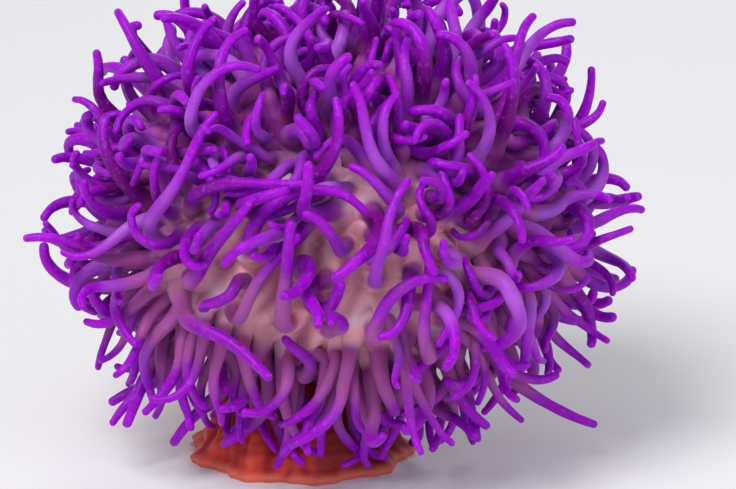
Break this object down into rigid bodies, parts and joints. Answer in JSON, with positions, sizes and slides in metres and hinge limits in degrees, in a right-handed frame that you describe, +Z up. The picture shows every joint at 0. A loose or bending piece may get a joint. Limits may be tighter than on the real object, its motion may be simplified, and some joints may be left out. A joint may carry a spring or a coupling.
{
  "type": "sea anemone",
  "caption": "Sea anemone on a flat pedal disc: a leaning folded column carries a wide crown of long, tapering, curling tentacles round a slit mouth.",
  "frame": {"origin": "centre of the pedal disc's underside, on the floor", "axes": "+Z up; the open face of the crown looks towards -Y and up; +X runs along the crown's longer width, to the right for a viewer who faces the animal"},
  "size_m": [0.1776, 0.1555, 0.1453],
  "materials": {
    "tentacle_flesh": "soft wet satin",
    "face_flesh": "soft wet satin",
    "column_flesh": "soft wet satin"
  },
  "bodies": {
    "root": {"tentacles_inner_01": "tentacle_flesh", "tentacles_inner_02": "tentacle_flesh", "tentacles_inner_03": "tentacle_flesh", "tentacles_inner_04": "tentacle_flesh", "tentacles_inner_05": "tentacle_flesh", "tentacles_inner_06": "tentacle_flesh", "tentacles_middle_01": "tentacle_flesh", "tentacles_middle_02": "tentacle_flesh", "tentacles_middle_03": "tentacle_flesh", "tentacles_middle_04": "tentacle_flesh", "tentacles_middle_05": "tentacle_flesh", "tentacles_middle_06": "tentacle_flesh", "tentacles_middle_07": "tentacle_flesh", "tentacles_middle_08": "tentacle_flesh", "tentacles_middle_09": "tentacle_flesh", "tentacles_middle_10": "tentacle_flesh", "tentacles_middle_11": "tentacle_flesh", "tentacles_middle_12": "tentacle_flesh", "tentacles_outer_01": "tentacle_flesh", "tentacles_outer_02": "tentacle_flesh", "tentacles_outer_03": "tentacle_flesh", "tentacles_outer_04": "tentacle_flesh", "tentacles_outer_05": "tentacle_flesh", "tentacles_outer_06": "tentacle_flesh", "tentacles_outer_07": "tentacle_flesh", "tentacles_outer_08": "tentacle_flesh", "tentacles_outer_09": "tentacle_flesh", "tentacles_outer_10": "tentacle_flesh", "tentacles_outer_11": "tentacle_flesh", "tentacles_outer_12": "tentacle_flesh", "tentacles_margin_01": "tentacle_flesh", "tentacles_margin_02": "tentacle_flesh", "tentacles_margin_03": "tentacle_flesh", "tentacles_margin_04": "tentacle_flesh", "tentacles_margin_05": "tentacle_flesh", "tentacles_margin_06": "tentacle_flesh", "tentacles_margin_07": "tentacle_flesh", "tentacles_margin_08": "tentacle_flesh", "tentacles_margin_09": "tentacle_flesh", "tentacles_margin_10": "tentacle_flesh", "tentacles_margin_11": "tentacle_flesh", "tentacles_margin_12": "tentacle_flesh", "tentacles_skirt_01": "tentacle_flesh", "tentacles_skirt_02": "tentacle_flesh", "tentacles_skirt_03": "tentacle_flesh", "tentacles_skirt_04": "tentacle_flesh", "tentacles_skirt_05": "tentacle_flesh", "tentacles_skirt_06": "tentacle_flesh", "tentacles_skirt_07": "tentacle_flesh", "tentacles_skirt_08": "tentacle_flesh", "tentacles_skirt_09": "tentacle_flesh", "tentacles_skirt_10": "tentacle_flesh", "tentacles_skirt_11": "tentacle_flesh", "tentacles_skirt_12": "tentacle_flesh", "mouth": "face_flesh", "crown_base": "face_flesh", "column": "column_flesh", "pedal_disc": "column_flesh"}
  },
  "joints": []
}
